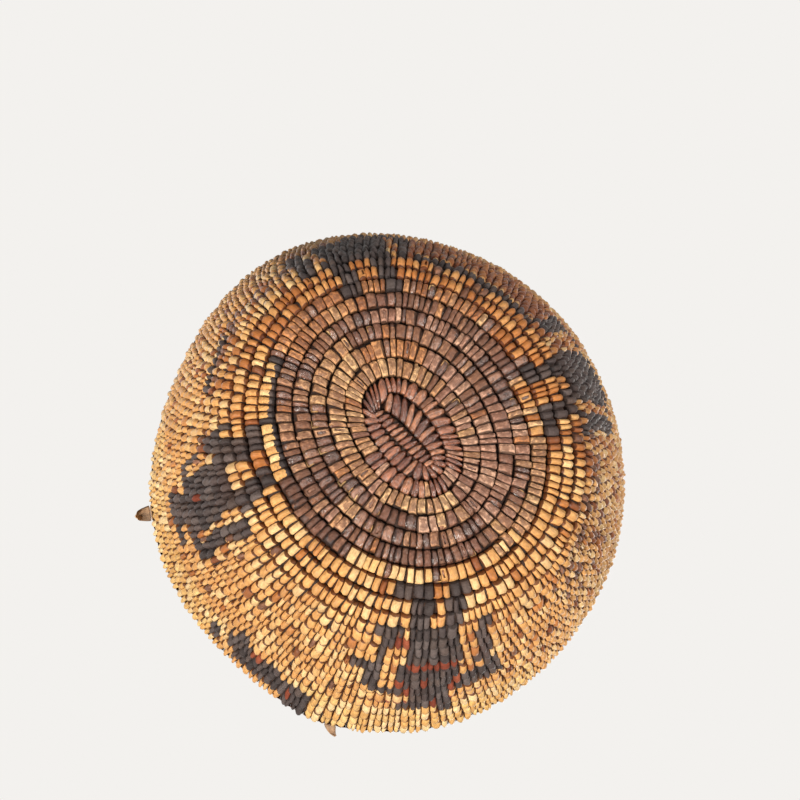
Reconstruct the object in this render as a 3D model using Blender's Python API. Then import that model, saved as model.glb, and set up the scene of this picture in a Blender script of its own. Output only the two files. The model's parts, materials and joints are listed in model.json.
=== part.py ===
# Salish coiled basket, in metres, +Z up. One coil winds outwards from a short straight start, first flat
# as an oval base and then up a flaring wall, and its last turn is the rim. It is cut here into named
# runs. Two hide thongs are looped through the rim coil and knotted inside. The basket stands on its coils,
# which are worn flat, and its origin is under the middle of the start.

import math

import bmesh
import bpy
from mathutils import Matrix, Vector

# The coil
COIL_PITCH = 0.0070
COIL_TURNS = 24.833
WALL_CORE = 0.0034
OUTER_SWELL = 0.0016
INNER_SWELL = 0.0013
SWELL_FULLNESS = 0.6
WORN_DEPTH = 0.0005
FOOT_HEIGHT = OUTER_SWELL - WORN_DEPTH
SEAM_GAP = 0.0003
TIP_TURNS = 0.25
TIP_WIDTH = 0.0016

# The form, along the outside of the wall from the middle of the base
FLAT_LENGTH = 0.0516
BEND_LENGTH = 0.0331
WALL_SLOPE = math.radians(57.2)
RIM_SLOPE = math.radians(66.2)
BASE_DRAW = 0.0096
BASE_FULLNESS = 1.223
BASE_CENTRE = Vector((-0.0023, -0.0036, FOOT_HEIGHT))
# How the hand-made rim is out of round: waves in a turn, height and place of the first crest
RIM_WAVES = (
    (1, 0.00055, math.radians(21.0)),
    (2, 0.00397, math.radians(28.4)),
    (3, 0.00044, math.radians(-54.3)),
    (4, 0.00121, math.radians(17.3)),
    (5, 0.00101, math.radians(-35.4)),
)
# Where the rim is drawn out in one place: how far, its middle and spread, and the turns that it grows over
RIM_BULGE = 0.0027
BULGE_MIDDLE = math.radians(52.0)
BULGE_SPREAD = math.radians(10.0)
BULGE_FROM = 22.6
BULGE_RISE = 2.5
# The innermost turns lie to one side of the rest: how far, towards where, and the turns where this fades
START_SHIFT = 0.0015
SHIFT_TOWARDS = math.radians(30.0)
SHIFT_FADE_FROM = 2.6
SHIFT_FADE_TO = 4.6

# The rod that the coil starts from, and where the first turn begins
ROD_LENGTH = 0.0318
ROD_WIDTH = 0.0073
ROD_FULLNESS = 0.7
ROD_TURN = math.radians(-11.6)
ROD_GAP = 0.0005
FIRST_TURN = 0.5417

# Where the runs of coil end, in turns, and how many wall runs share the rest
START_END = 2.917
INNER_BASE_END = 5.25
OUTER_BASE_END = 8.0
HEEL_END = 11.5
RIM_RUN = 1.125
WALL_RUNS = ("wall_coil_lower", "wall_coil_middle", "wall_coil_upper", "wall_coil_top")
STEPS_START = 24
STEPS_WALL = 48
OUTER_STEPS = (0.0, 0.2, 0.5, 0.8, 1.0)
INNER_STEPS = (0.0, 0.5, 1.0)

# The thongs: place round the rim, width of the strip and length of the free end
THONGS = ((math.radians(47.2), 0.0052, 0.0036), (math.radians(112.1), 0.0075, 0.0068))
THONG_THICKNESS = 0.0010
THONG_SLACK = 0.0006
THONG_SLOT_GAP = 0.0003
THONG_CORNER = 0.0005
LOOP_DROP = 0.0041
LOOP_SET_BACK = 0.0009
KNOT_DEPTH = 0.0024
KNOT_HEIGHT = 0.0036
KNOT_SPREAD = 0.0005
TAIL_ROOT = math.radians(25.0)
TAIL_LEAN = math.radians(35.0)
TAIL_CURL = math.radians(75.0)
TAIL_TAPER = 0.5
ARC_STEPS = 6

COIL_LENGTH = COIL_TURNS * COIL_PITCH
WALL_LENGTH = COIL_LENGTH + COIL_PITCH - FLAT_LENGTH - BEND_LENGTH


def make_material(name, color, roughness):
    material = bpy.data.materials.new(name)
    material.use_nodes = True
    shader = material.node_tree.nodes["Principled BSDF"]
    shader.inputs["Base Color"].default_value = (*color, 1.0)
    shader.inputs["Roughness"].default_value = roughness
    shader.inputs["Metallic"].default_value = 0.0
    return material


def finish_object(name, data, collection, color, roughness):
    obj = bpy.data.objects.new(name, data)
    collection.objects.link(obj)
    data.materials.append(make_material(name, color, roughness))
    return obj


def profile_at(length):
    """Distance out, height and slope of the outer groove line, which is a flat and two arcs."""
    out = height = slope = 0.0
    left = length
    for stretch, next_slope in ((FLAT_LENGTH, 0.0), (BEND_LENGTH, WALL_SLOPE), (WALL_LENGTH, RIM_SLOPE)):
        used = min(left, stretch)
        turn = (next_slope - slope) * used / stretch
        if turn == 0.0:
            out += used
        else:
            radius = used / turn
            out += radius * (math.sin(slope + turn) - math.sin(slope))
            height += radius * (math.cos(slope) - math.cos(slope + turn))
        slope += turn
        left -= used
    return out, height, slope


def surface_point(length, angle, swell):
    """The point at this length up the outside and angle round it, swell outside the groove line."""
    out, height, slope = profile_at(length)
    rise = max(length - FLAT_LENGTH, 0.0) / (COIL_LENGTH + COIL_PITCH - FLAT_LENGTH)
    waves = sum(size * math.cos(count * (angle - crest)) for count, size, crest in RIM_WAVES)

    faded = (SHIFT_FADE_TO - length / COIL_PITCH) / (SHIFT_FADE_TO - SHIFT_FADE_FROM)
    shift = START_SHIFT * min(max(faded, 0.0), 1.0)
    aside = Vector((math.cos(SHIFT_TOWARDS), math.sin(SHIFT_TOWARDS), 0.0)) * shift
    away = math.remainder(angle - BULGE_MIDDLE, math.tau) / BULGE_SPREAD
    grown = min(max((length / COIL_PITCH - BULGE_FROM) / BULGE_RISE, 0.0), 1.0)
    bulge = RIM_BULGE * grown * math.exp(-(away**2))

    reach = out - shift + rise**2 * waves + bulge + swell * math.sin(slope)
    cosine = math.cos(angle)
    fullness = BASE_FULLNESS * cosine / math.sqrt(1 + (BASE_FULLNESS**2 - 1) * cosine**2)
    draw = BASE_DRAW * (1 - rise) * fullness
    point = BASE_CENTRE + aside + Vector((reach * cosine + draw, reach * math.sin(angle), height))
    point.z = max(point.z - swell * math.cos(slope), 0.0)
    return point


def rod_outline(angle, gap):
    """The rod's blunt outline in plan, grown by the gap."""
    turned = angle - ROD_TURN
    side = math.copysign(abs(math.sin(turned)) ** ROD_FULLNESS, math.sin(turned))
    local = Vector(((ROD_LENGTH / 2 + gap) * math.cos(turned), (ROD_WIDTH / 2 + gap) * side, 0.0))
    return Matrix.Rotation(ROD_TURN, 3, "Z") @ local


def coil_width(turns):
    """The coil's width, which tapers to its end over the last part of a turn."""
    left = max(COIL_TURNS - turns, 0.0)
    return TIP_WIDTH + (COIL_PITCH - TIP_WIDTH) * min(left / TIP_TURNS, 1.0)


def coil_swell(share, turns, is_outer):
    """How far this share of the coil's width stands out of the groove line."""
    round_part = math.sin(math.pi * share) ** SWELL_FULLNESS * coil_width(turns) / COIL_PITCH
    if is_outer:
        return OUTER_SWELL * round_part
    return -WALL_CORE - INNER_SWELL * round_part


class Run:
    """One run of coil, as a grid of steps round and across it whose turns share their grooves."""

    def __init__(self, start, end, steps, on_rod):
        self.mesh = bmesh.new()
        self.steps = steps
        self.first = round(start * steps)
        self.last = round(end * steps)
        self.on_rod = on_rod
        self.points = {}

    def place(self, step, row, rows):
        turns = step / self.steps
        share = rows[row]
        angle = math.tau * turns
        length = turns * COIL_PITCH + share * coil_width(turns)
        in_first_turn = step < self.first + self.steps
        if row == 0 and in_first_turn:
            length += SEAM_GAP / 2
        if row == len(rows) - 1 and step > self.last - self.steps:
            length -= SEAM_GAP / 2
        cap_turn = SEAM_GAP / 2 / max(profile_at(length)[0], COIL_PITCH)
        if step == self.first:
            angle += cap_turn
        if step == self.last:
            angle -= cap_turn
        point = surface_point(length, angle, coil_swell(share, turns, rows is OUTER_STEPS))
        if self.on_rod and in_first_turn:
            edge = surface_point((turns + 1.0) * COIL_PITCH, angle, 0.0)
            start = rod_outline(angle, ROD_GAP)
            point.x = start.x + (edge.x - start.x) * share
            point.y = start.y + (edge.y - start.y) * share
        return point

    def vertex(self, step, row, rows):
        """The vertex there. A turn's inner groove is the one before's outer groove."""
        if row == 0 and step - self.steps >= self.first:
            return self.vertex(step - self.steps, len(rows) - 1, rows)
        key = (step, row, rows is OUTER_STEPS)
        if key not in self.points:
            self.points[key] = self.mesh.verts.new(self.place(step, row, rows))
        return self.points[key]

    def quad(self, step, row, rows):
        corners = ((step, row), (step + 1, row), (step + 1, row + 1), (step, row + 1))
        self.mesh.faces.new([self.vertex(a, b, rows) for a, b in corners])

    def side(self, step, end_row):
        outer_row, inner_row = (0, 0) if end_row == 0 else (len(OUTER_STEPS) - 1, len(INNER_STEPS) - 1)
        self.mesh.faces.new(
            [
                self.vertex(step, outer_row, OUTER_STEPS),
                self.vertex(step + 1, outer_row, OUTER_STEPS),
                self.vertex(step + 1, inner_row, INNER_STEPS),
                self.vertex(step, inner_row, INNER_STEPS),
            ]
        )

    def cap(self, step):
        outer = [self.vertex(step, row, OUTER_STEPS) for row in range(len(OUTER_STEPS))]
        inner = [self.vertex(step, row, INNER_STEPS) for row in reversed(range(len(INNER_STEPS)))]
        self.mesh.faces.new(outer + inner)

    def build(self, name):
        for step in range(self.first, self.last):
            for rows in (OUTER_STEPS, INNER_STEPS):
                for row in range(len(rows) - 1):
                    self.quad(step, row, rows)
        for step in range(self.first, min(self.first + self.steps, self.last)):
            self.side(step, 0)
        for step in range(max(self.last - self.steps, self.first), self.last):
            self.side(step, 1)
        self.cap(self.first)
        self.cap(self.last)
        bmesh.ops.recalc_face_normals(self.mesh, faces=self.mesh.faces)
        data = bpy.data.meshes.new(name)
        self.mesh.to_mesh(data)
        self.mesh.free()
        data.shade_smooth()
        data.set_sharp_from_angle(angle=math.radians(35))
        return data


def add_run(name, start, end, steps, color, collection, on_rod=False):
    data = Run(start, end, steps, on_rod).build(name)
    return finish_object(name, data, collection, color, 0.6)


def add_rod(collection):
    """The straight start: a blunt rod as thick as the wall, worn flat underneath."""
    mesh = bmesh.new()
    bmesh.ops.create_uvsphere(mesh, u_segments=16, v_segments=12, radius=1.0)
    middle = FOOT_HEIGHT + WALL_CORE / 2
    half_height = WALL_CORE / 2 + OUTER_SWELL
    for vertex in mesh.verts:
        x, y, z = vertex.co.z, vertex.co.x, vertex.co.y
        around = math.hypot(y, z)
        fill = around ** (ROD_FULLNESS - 1) if around > 1e-6 else 0.0
        vertex.co = (ROD_LENGTH / 2 * x, ROD_WIDTH / 2 * y * fill, middle + half_height * z * fill)
        vertex.co.z = max(vertex.co.z, 0.0)
    data = bpy.data.meshes.new("start_rod")
    mesh.to_mesh(data)
    mesh.free()
    data.shade_smooth()
    obj = finish_object("start_rod", data, collection, (0.30, 0.16, 0.09), 0.45)
    obj.rotation_euler.z = ROD_TURN
    return obj


def thong_frame(angle):
    """Local X points out of the wall, Y up it and Z along the rim, from the rim coil's lower groove."""
    turns = math.floor(COIL_TURNS) + angle / math.tau
    if turns > COIL_TURNS - TIP_TURNS:
        turns -= 1
    length = turns * COIL_PITCH
    slope = profile_at(length + COIL_PITCH / 2)[2]
    outward = Vector((math.cos(angle), math.sin(angle), 0.0))
    normal = outward * math.sin(slope) - Vector((0.0, 0.0, math.cos(slope)))
    upward = outward * math.cos(slope) + Vector((0.0, 0.0, math.sin(slope)))
    along = normal.cross(upward)
    frame = Matrix((normal, upward, along)).transposed().to_4x4()
    frame.translation = surface_point(length, angle, 0.0)
    return frame


def loop_turns():
    """Where a thong's loop turns, seen along the rim: top inside, low inside and top outside."""
    top = COIL_PITCH + THONG_SLACK - THONG_CORNER
    inside = THONG_CORNER - WALL_CORE - INNER_SWELL - THONG_SLACK
    return Vector((inside, top)), Vector((inside, top - LOOP_DROP)), Vector((-LOOP_SET_BACK, top))


def loop_outline(radius):
    """The outline this far round the loop's turns, with an arc at each."""
    turns = loop_turns()
    points = []
    for index, centre in enumerate(turns):
        before = centre - turns[index - 1]
        after = turns[(index + 1) % len(turns)] - centre
        start = math.atan2(-before.x, before.y)
        bend = (math.atan2(-after.x, after.y) - start) % math.tau
        for step in range(ARC_STEPS + 1):
            angle = start + bend * step / ARC_STEPS
            points.append(centre + radius * Vector((math.cos(angle), math.sin(angle))))
    return points


def outline_curve(name, outlines, width):
    """A flat outline, with any further outlines as holes, extruded to the strip's width."""
    curve = bpy.data.curves.new(name, "CURVE")
    curve.dimensions = "2D"
    curve.fill_mode = "BOTH"
    curve.extrude = width / 2
    for outline in outlines:
        spline = curve.splines.new("POLY")
        spline.points.add(len(outline) - 1)
        for point, (x, y) in zip(spline.points, outline):
            point.co = (x, y, 0.0, 1.0)
        spline.use_cyclic_u = True
    return curve


def add_strip(name, outlines, width, frame, collection):
    curve = outline_curve(name, outlines, width)
    obj = finish_object(name, curve, collection, (0.36, 0.27, 0.19), 0.7)
    obj.matrix_world = frame
    return obj


def add_slot(rim, frame, name, width, collection):
    """The slot that a thong's loop passes through, slanting from the rim's top to its inside."""
    outlines = [
        loop_outline(THONG_CORNER + THONG_THICKNESS + THONG_SLOT_GAP),
        loop_outline(THONG_CORNER - THONG_SLOT_GAP),
    ]
    flat = bpy.data.objects.new(name, outline_curve(name, outlines, width + 2 * THONG_SLOT_GAP))
    collection.objects.link(flat)
    graph = bpy.context.evaluated_depsgraph_get()
    data = bpy.data.meshes.new_from_object(flat.evaluated_get(graph))
    bpy.data.objects.remove(flat)
    mesh = bmesh.new()
    mesh.from_mesh(data)
    bmesh.ops.remove_doubles(mesh, verts=mesh.verts, dist=1e-5)
    mesh.to_mesh(data)
    mesh.free()
    cutter = bpy.data.objects.new(name, data)
    collection.objects.link(cutter)
    cutter.matrix_world = frame
    cutter.hide_render = True
    cutter.display_type = "WIRE"
    cut = rim.modifiers.new(name, "BOOLEAN")
    cut.operation = "DIFFERENCE"
    cut.object = cutter


def tail_outline(length):
    """A strip with a round root that leaves the rim and curls down to a tapered end."""
    half = THONG_THICKNESS / 2
    heading = TAIL_LEAN
    spot = Vector((0.0, 0.0))
    left_side, right_side = [], []
    for step in range(2 * ARC_STEPS + 1):
        share = step / (2 * ARC_STEPS)
        across = Vector((-math.sin(heading), math.cos(heading))) * half * (1 - TAIL_TAPER * share)
        left_side.append(spot + across)
        right_side.append(spot - across)
        heading -= TAIL_CURL / (2 * ARC_STEPS)
        spot = spot + Vector((math.cos(heading), math.sin(heading))) * length / (2 * ARC_STEPS)
    start = TAIL_LEAN + math.pi / 2
    turns = [start + math.pi * step / ARC_STEPS for step in range(1, ARC_STEPS)]
    rounding = [Vector((half * math.cos(turn), half * math.sin(turn))) for turn in turns]
    return left_side[::-1] + rounding + right_side


def add_thong(number, angle, width, tail_length, rim, parts, cutters):
    frame = thong_frame(angle)
    add_slot(rim, frame, f"thong_slot_{number}", width, cutters)
    outlines = (loop_outline(THONG_CORNER + THONG_THICKNESS), loop_outline(THONG_CORNER))
    add_strip(f"thong_loop_{number}", outlines, width, frame, parts)

    inner_top, _, outer_top = loop_turns()
    knot_x = inner_top.x - THONG_CORNER - THONG_THICKNESS - SEAM_GAP - KNOT_DEPTH / 2
    knot_y = inner_top.y - LOOP_DROP / 2
    mesh = bmesh.new()
    bmesh.ops.create_uvsphere(mesh, u_segments=14, v_segments=10, radius=0.5)
    size = Matrix.Diagonal((KNOT_DEPTH, KNOT_HEIGHT, width + 2 * KNOT_SPREAD, 1.0))
    bmesh.ops.transform(mesh, matrix=size, verts=mesh.verts)
    data = bpy.data.meshes.new(f"thong_knot_{number}")
    mesh.to_mesh(data)
    mesh.free()
    data.shade_smooth()
    knot = finish_object(f"thong_knot_{number}", data, parts, (0.30, 0.22, 0.16), 0.75)
    knot.matrix_world = frame @ Matrix.Translation((knot_x, knot_y, 0.0))

    reach = THONG_CORNER + THONG_THICKNESS + SEAM_GAP + THONG_THICKNESS / 2
    root = outer_top + reach * Vector((math.cos(TAIL_ROOT), math.sin(TAIL_ROOT)))
    hinge = frame @ Matrix.Translation((root.x, root.y, 0.0))
    add_strip(f"thong_tail_{number}", (tail_outline(tail_length),), width, hinge, parts)
    print(f"thong {number} hinge", [round(value, 5) for value in hinge.translation])
    print(f"thong {number} axis", [round(value, 5) for value in frame.col[2][:3]])


def main():
    for obj in list(bpy.data.objects):
        bpy.data.objects.remove(obj)
    parts = bpy.data.collections.new("salish_basket")
    cutters = bpy.data.collections.new("cutters")
    bpy.context.scene.collection.children.link(parts)
    bpy.context.scene.collection.children.link(cutters)

    root = (0.30, 0.17, 0.10)
    worn = (0.36, 0.24, 0.16)
    straw = (0.52, 0.38, 0.18)
    pale = (0.60, 0.47, 0.24)
    add_rod(parts)
    add_run("start_coil", FIRST_TURN, START_END, STEPS_START, root, parts, on_rod=True)
    add_run("base_coil_inner", START_END, INNER_BASE_END, STEPS_START, worn, parts)
    add_run("base_coil_outer", INNER_BASE_END, OUTER_BASE_END, STEPS_WALL, worn, parts)
    add_run("heel_coil", OUTER_BASE_END, HEEL_END, STEPS_WALL, straw, parts)
    rim_start = COIL_TURNS - RIM_RUN
    share = (rim_start - HEEL_END) / len(WALL_RUNS)
    for number, name in enumerate(WALL_RUNS):
        color = pale if number == len(WALL_RUNS) - 1 else straw
        add_run(name, HEEL_END + share * number, HEEL_END + share * (number + 1), STEPS_WALL, color, parts)
    rim = add_run("rim_coil", rim_start, COIL_TURNS, STEPS_WALL, pale, parts)
    for number, (angle, width, tail_length) in enumerate(THONGS, start=1):
        add_thong(number, angle, width, tail_length, rim, parts, cutters)


main()
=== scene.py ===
import json
import math
import random

import bmesh
import bpy
from mathutils import Matrix, Vector, noise

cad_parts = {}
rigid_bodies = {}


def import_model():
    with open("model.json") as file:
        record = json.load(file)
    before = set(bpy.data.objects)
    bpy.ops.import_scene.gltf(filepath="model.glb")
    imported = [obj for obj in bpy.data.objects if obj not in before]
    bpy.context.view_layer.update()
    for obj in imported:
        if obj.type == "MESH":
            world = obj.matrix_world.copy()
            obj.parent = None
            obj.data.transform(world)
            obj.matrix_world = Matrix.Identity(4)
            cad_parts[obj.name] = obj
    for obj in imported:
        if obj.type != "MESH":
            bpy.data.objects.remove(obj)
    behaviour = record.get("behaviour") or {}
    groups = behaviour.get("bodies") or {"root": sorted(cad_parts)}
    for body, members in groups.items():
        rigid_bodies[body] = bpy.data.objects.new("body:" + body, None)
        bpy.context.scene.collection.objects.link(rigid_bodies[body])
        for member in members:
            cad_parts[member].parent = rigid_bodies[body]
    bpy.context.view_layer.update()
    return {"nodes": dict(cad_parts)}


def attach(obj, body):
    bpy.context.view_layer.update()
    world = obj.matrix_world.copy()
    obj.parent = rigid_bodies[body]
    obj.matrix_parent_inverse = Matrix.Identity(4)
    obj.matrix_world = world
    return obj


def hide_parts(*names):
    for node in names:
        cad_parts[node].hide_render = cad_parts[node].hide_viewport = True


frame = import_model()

# The coil and its form, as the CAD has them, in metres
coil = {
    "pitch": 0.0070,
    "turns": 24.833,
    "firstTurn": 0.5417,
    "core": 0.0034,  # groove to groove through the wall
    "outerSwell": 0.0016,
    "innerSwell": 0.0013,
    "tipTurns": 0.25,
    "tipWidth": 0.0016,
    "flat": 0.0516,
    "bend": 0.0331,
    "wallSlope": math.radians(57.2),
    "rimSlope": math.radians(66.2),
    "draw": 0.0096,
    "fullness": 1.223,
    "centre": Vector((-0.0023, -0.0036, 0.0011)),
    # waves round the rim: how many, how high, and the degrees where the first crest stands
    "waves": (
        (1, 0.00055, 21.0), (2, 0.00397, 28.4), (3, 0.00044, -54.3),
        (4, 0.00121, 17.3), (5, 0.00101, -35.4),
    ),
    "bulge": 0.0027,
    "bulgeMiddle": math.radians(52.0),
    "bulgeSpread": math.radians(10.0),
    "bulgeFrom": 22.6,
    "bulgeRise": 2.5,
    "startShift": 0.0015,
    "shiftTowards": math.radians(30.0),
    "shiftFadeFrom": 2.6,
    "shiftFadeTo": 4.6,
    "rodLength": 0.0318,
    "rodWidth": 0.0073,
    "rodFullness": 0.7,
    "rodTurn": math.radians(-11.6),
}
coilLength = coil["turns"] * coil["pitch"]
wallLength = coilLength + coil["pitch"] - coil["flat"] - coil["bend"]

# Each dye is the number of its material and the hex colours that its strips vary between
dyes = {
    "straw": (0, ("#E4AC6A", "#EBBA7A", "#DEA464", "#F2CA90", "#E0A868")),
    "pale": (0, ("#E8BC78", "#F1CA88", "#E0AE6A", "#F6D6A0")),
    "tan": (0, ("#CC8C52", "#BE7A42", "#D69C60", "#AC6A38")),
    "browned": (0, ("#A2643A", "#8E5230", "#B47442", "#7A452A")),
    "black": (1, ("#504543", "#453C3B", "#5E5350", "#3D3534", "#574A45")),
    "red": (2, ("#8E4834", "#9A543C", "#7C3E2E")),
    "baseTan": (3, ("#D8A878", "#E2B684", "#C89468", "#D0A076", "#B48660")),
    "baseOrange": (3, ("#CC8C5A", "#BC7C4E", "#DA9C68", "#A86C44")),
    "baseBrown": (3, ("#AA7C5E", "#94684E", "#BC8E6C", "#805842")),
    "baseDark": (3, ("#70503F", "#80594A", "#5A4036", "#906650")),
    "basePink": (3, ("#BE917A", "#AC806A", "#D0A488", "#966C5A")),
    "collar": (3, ("#D4A66E", "#C4945E", "#DEB67C")),
    "root": (4, ("#824A30", "#965C40", "#6A3A26", "#AA7050")),
    "insideRoot": (4, ("#A8764A", "#B8885C", "#966440", "#C49668")),
    "bead": (4, ("#7E5440", "#6C4635", "#90644C", "#5C3C2E")),
    "dullBead": (3, ("#80583E", "#704A35", "#90644C")),
}


def fromHex(text):
    values = [int(text[i : i + 2], 16) / 255 for i in (1, 3, 5)]
    return [v / 12.92 if v <= 0.04045 else ((v + 0.055) / 1.055) ** 2.4 for v in values] + [1.0]


def setInputs(tree, node, links):
    # values are set, and sockets, or the first output of a node, are linked
    for name, value in links.items():
        if isinstance(value, bpy.types.Node):
            value = value.outputs[0]
        if isinstance(value, bpy.types.NodeSocket):
            tree.links.new(value, node.inputs[name])
        else:
            node.inputs[name].default_value = value


def addNode(tree, kind, links=None, **settings):
    node = tree.nodes.new(kind)
    node.location = (190 * (len(tree.nodes) % 9), -230 * (len(tree.nodes) // 9))
    for name, value in settings.items():
        setattr(node, name, value)
    setInputs(tree, node, links or {})
    return node


def startMaterial(name):
    material = bpy.data.materials.new(name)
    material.use_nodes = True
    return material, material.node_tree


def meshData(name, mesh):
    for face in mesh.faces:
        face.smooth = True
    data = bpy.data.meshes.new(name)
    mesh.to_mesh(data)
    mesh.free()
    return data


# The camera looks up at the base from below, as the photograph does
view = {
    "place": (0.04524, 0.06977, -0.38343),
    "turn": (-166.5003, 4.6209, -56.1126),
    "lens": 42.75,
    "aim": (0.0, 0.0, 0.04),  # where the lamps point
    "floorHeight": -0.0002,
    "floorSize": 24.0,
    "floorColor": "#E9E7E3",
    "backColor": "#F3F1EE",
    "skyColor": "#F4F2EE",
    "skyStrength": 0.09,
}
# Lamps: kind, place, size, power and colour. The key is low on one side, and the two above light the inside
# and the floor
lamps = {
    "keyBelow": ("AREA", (0.15, 0.74, -0.68), 0.14, 13.4, "#FFF9F0"),
    "fillBelow": ("AREA", (0.5, -0.62, -0.8), 0.35, 8.5, "#FFFCF8"),
    "sunAbove": ("SUN", (0.5, -0.6, 1.6), 0.9, 3.1, "#FFFCF6"),
    "fillAbove": ("AREA", (-0.9, 0.5, 0.8), 0.9, 4.6, "#FAFCFF"),
}


def makeStage():
    scene = bpy.context.scene
    scene.view_settings.view_transform = "Standard"
    camera = bpy.data.objects.new("camera", bpy.data.cameras.new("camera"))
    scene.collection.objects.link(camera)
    camera.data.lens = view["lens"]
    camera.data.sensor_width = 36.0
    camera.data.clip_start = 0.01
    camera.location = view["place"]
    camera.rotation_euler = [math.radians(a) for a in view["turn"]]
    scene.camera = camera

    # a plain sheet seen from above. From below, and for light, it is clear, so that the base is seen and lit
    mesh = bmesh.new()
    bmesh.ops.create_grid(mesh, x_segments=1, y_segments=1, size=view["floorSize"] / 2)
    bmesh.ops.translate(mesh, verts=mesh.verts, vec=(0, 0, view["floorHeight"]))
    data = meshData("floor", mesh)
    floor = bpy.data.objects.new("floor", data)
    scene.collection.objects.link(floor)
    material, tree = startMaterial("paintedFloor")
    tree.nodes.clear()
    paint = addNode(tree, "ShaderNodeBsdfDiffuse", {"Color": fromHex(view["floorColor"])})
    clear = addNode(tree, "ShaderNodeBsdfTransparent")
    behind = addNode(tree, "ShaderNodeNewGeometry").outputs["Backfacing"]
    seen = addNode(tree, "ShaderNodeLightPath").outputs["Is Camera Ray"]
    away = addNode(tree, "ShaderNodeMath", {0: 1.0, 1: seen}, operation="SUBTRACT")
    seeThrough = addNode(tree, "ShaderNodeMath", {0: behind, 1: away}, operation="MAXIMUM")
    mixed = addNode(tree, "ShaderNodeMixShader", {0: seeThrough, 1: paint, 2: clear})
    addNode(tree, "ShaderNodeOutputMaterial", {"Surface": mixed})
    data.materials.append(material)

    for name, (kind, place, size, power, color) in lamps.items():
        lamp = bpy.data.lights.new(name, kind)
        if kind == "SUN":
            lamp.angle = size
        else:
            lamp.shape = "DISK"
            lamp.size = size
        lamp.energy = power
        lamp.color = fromHex(color)[:3]
        obj = bpy.data.objects.new(name, lamp)
        scene.collection.objects.link(obj)
        obj.location = place
        obj.rotation_euler = (Vector(view["aim"]) - Vector(place)).to_track_quat("-Z", "Y").to_euler()

    world = bpy.data.worlds.new("studio")
    scene.world = world
    world.use_nodes = True
    tree = world.node_tree
    tree.nodes.clear()
    rays = addNode(tree, "ShaderNodeLightPath").outputs
    seen = rays["Is Camera Ray"]
    for kind in ("Is Glossy Ray", "Is Transmission Ray"):
        seen = addNode(tree, "ShaderNodeMath", {0: seen, 1: rays[kind]}, operation="MAXIMUM")
    sky = {"Color": fromHex(view["skyColor"]), "Strength": view["skyStrength"]}
    soft = addNode(tree, "ShaderNodeBackground", sky)
    plain = addNode(tree, "ShaderNodeBackground", {"Color": fromHex(view["backColor"]), "Strength": 1.0})
    both = addNode(tree, "ShaderNodeMixShader", {0: seen, 1: soft, 2: plain})
    addNode(tree, "ShaderNodeOutputWorld", {"Surface": both})
    print("stage ready")


def profileAt(length):
    # distance out, height and slope of the outer groove line: a flat and two arcs
    out = height = slope = 0.0
    left = length
    stretches = ((coil["flat"], 0.0), (coil["bend"], coil["wallSlope"]), (wallLength, coil["rimSlope"]))
    for stretch, nextSlope in stretches:
        used = min(left, stretch)
        turn = (nextSlope - slope) * used / stretch
        if turn == 0.0:
            out += used
        else:
            radius = used / turn
            out += radius * (math.sin(slope + turn) - math.sin(slope))
            height += radius * (math.cos(slope) - math.cos(slope + turn))
        slope += turn
        left -= used
    return out, height, slope


def surfacePoint(length, angle, swell):
    # the point this far up the outside and round it, swell outside the groove line
    out, height, slope = profileAt(length)
    turns = length / coil["pitch"]
    rise = max(length - coil["flat"], 0.0) / (coilLength + coil["pitch"] - coil["flat"])
    waves = 0.0
    for count, size, crest in coil["waves"]:
        waves += size * math.cos(count * (angle - math.radians(crest)))
    faded = (coil["shiftFadeTo"] - turns) / (coil["shiftFadeTo"] - coil["shiftFadeFrom"])
    shift = coil["startShift"] * min(max(faded, 0.0), 1.0)
    away = math.remainder(angle - coil["bulgeMiddle"], math.tau) / coil["bulgeSpread"]
    grown = min(max((turns - coil["bulgeFrom"]) / coil["bulgeRise"], 0.0), 1.0)
    bulge = coil["bulge"] * grown * math.exp(-(away**2))
    reach = out - shift + rise**2 * waves + bulge + swell * math.sin(slope)
    cosine = math.cos(angle)
    full = coil["fullness"]
    draw = coil["draw"] * (1 - rise) * full * cosine / math.sqrt(1 + (full**2 - 1) * cosine**2)
    place = Vector((reach * cosine + draw, reach * math.sin(angle), height - swell * math.cos(slope)))
    aside = Vector((math.cos(coil["shiftTowards"]), math.sin(coil["shiftTowards"]), 0))
    return coil["centre"] + place + shift * aside


def coilWidth(turns):
    left = max(coil["turns"] - turns, 0.0)
    return coil["tipWidth"] + (coil["pitch"] - coil["tipWidth"]) * min(left / coil["tipTurns"], 1.0)


def rodOutline(angle, gap):
    turned = angle - coil["rodTurn"]
    side = math.copysign(abs(math.sin(turned)) ** coil["rodFullness"], math.sin(turned))
    across = (coil["rodLength"] / 2 + gap) * math.cos(turned)
    place = Vector((across, (coil["rodWidth"] / 2 + gap) * side, 0.0))
    return Matrix.Rotation(coil["rodTurn"], 3, "Z") @ place


def coilPoint(turns, share, swell):
    # the point this share of the way across the coil; the first turn starts from the rod's outline
    angle = math.tau * turns
    point = surfacePoint(turns * coil["pitch"] + share * coilWidth(turns), angle, swell)
    if turns < coil["firstTurn"] + 1:
        edge = surfacePoint((turns + 1) * coil["pitch"], angle, 0.0)
        start = rodOutline(angle, 0.0001)
        point.x = start.x + (edge.x - start.x) * share
        point.y = start.y + (edge.y - start.y) * share
    return point


def outwardAt(turns, share):
    if turns * coil["pitch"] + share * coilWidth(turns) <= coil["flat"]:
        return Vector((0, 0, -1))
    return (coilPoint(turns, share, 0.001) - coilPoint(turns, share, -0.001)).normalized()


def finishPiece(name, data, body, materials=()):
    obj = bpy.data.objects.new(name, data)
    bpy.context.scene.collection.objects.link(obj)
    for material in materials:
        data.materials.append(material)
    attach(obj, body)
    return obj


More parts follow.
